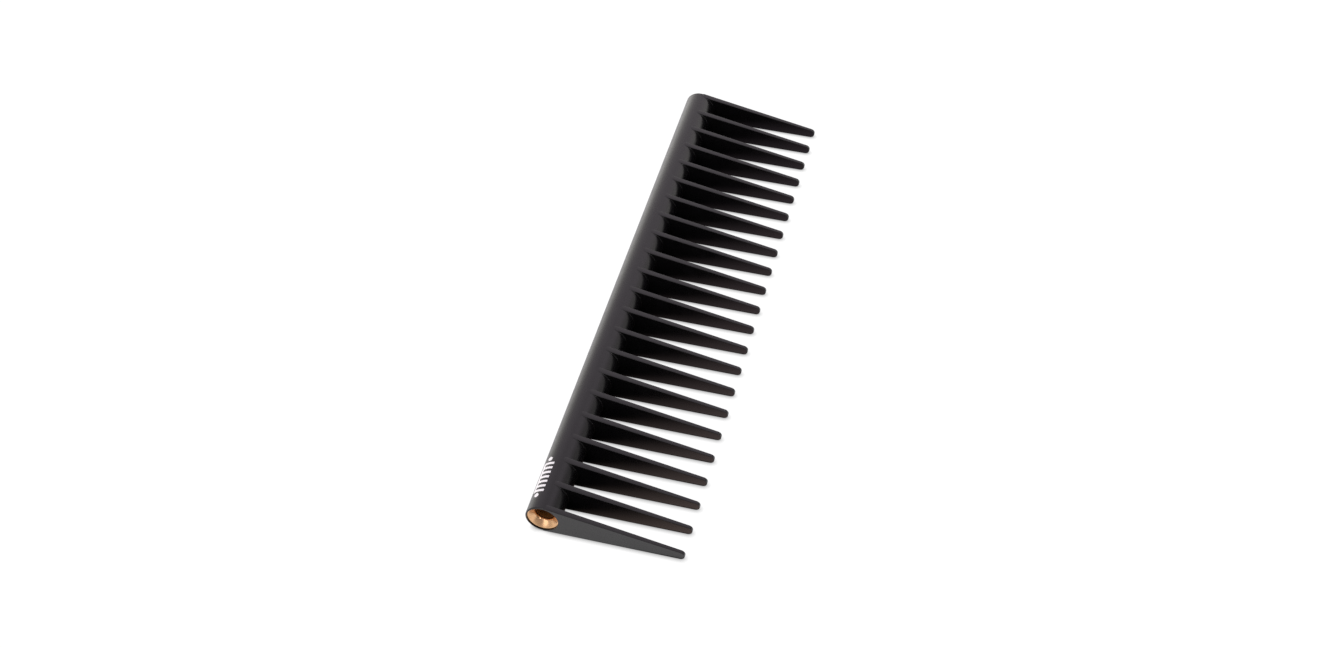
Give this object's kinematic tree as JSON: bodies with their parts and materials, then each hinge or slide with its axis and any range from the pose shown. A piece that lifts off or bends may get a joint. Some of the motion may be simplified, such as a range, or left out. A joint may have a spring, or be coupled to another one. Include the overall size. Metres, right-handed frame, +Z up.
{
  "type": "wide-tooth comb",
  "caption": "Rigid wide-tooth grooming comb: round hollow spine, one row of flat tapered teeth with rounded ends, and a flared copper-coloured cap in each end of the spine.",
  "frame": {"origin": "centre of the comb's footprint, on the surface that it lies on", "axes": "+X along the spine towards the far end cap, -Y along the teeth from spine to tips, +Z up from the surface; the spine's axis is parallel to X at y = 18.325 mm, z = 5.15 mm"},
  "size_m": [0.1908, 0.047, 0.0103],
  "materials": {
    "black_plastic": "satin black moulded plastic",
    "copper": "satin copper-coloured metal, turned",
    "white_print": "printed white ink"
  },
  "bodies": {
    "root": {"spine_tube": "black_plastic", "near_end_cap": "copper", "far_end_cap": "copper", "tooth_01": "black_plastic", "tooth_02": "black_plastic", "tooth_03": "black_plastic", "tooth_04": "black_plastic", "tooth_05": "black_plastic", "tooth_06": "black_plastic", "tooth_07": "black_plastic", "tooth_08": "black_plastic", "tooth_09": "black_plastic", "tooth_10": "black_plastic", "tooth_11": "black_plastic", "tooth_12": "black_plastic", "tooth_13": "black_plastic", "tooth_14": "black_plastic", "tooth_15": "black_plastic", "tooth_16": "black_plastic", "tooth_17": "black_plastic", "tooth_18": "black_plastic", "tooth_19": "black_plastic", "tooth_20": "black_plastic", "tooth_21": "black_plastic", "tooth_22": "black_plastic"}
  },
  "joints": []
}
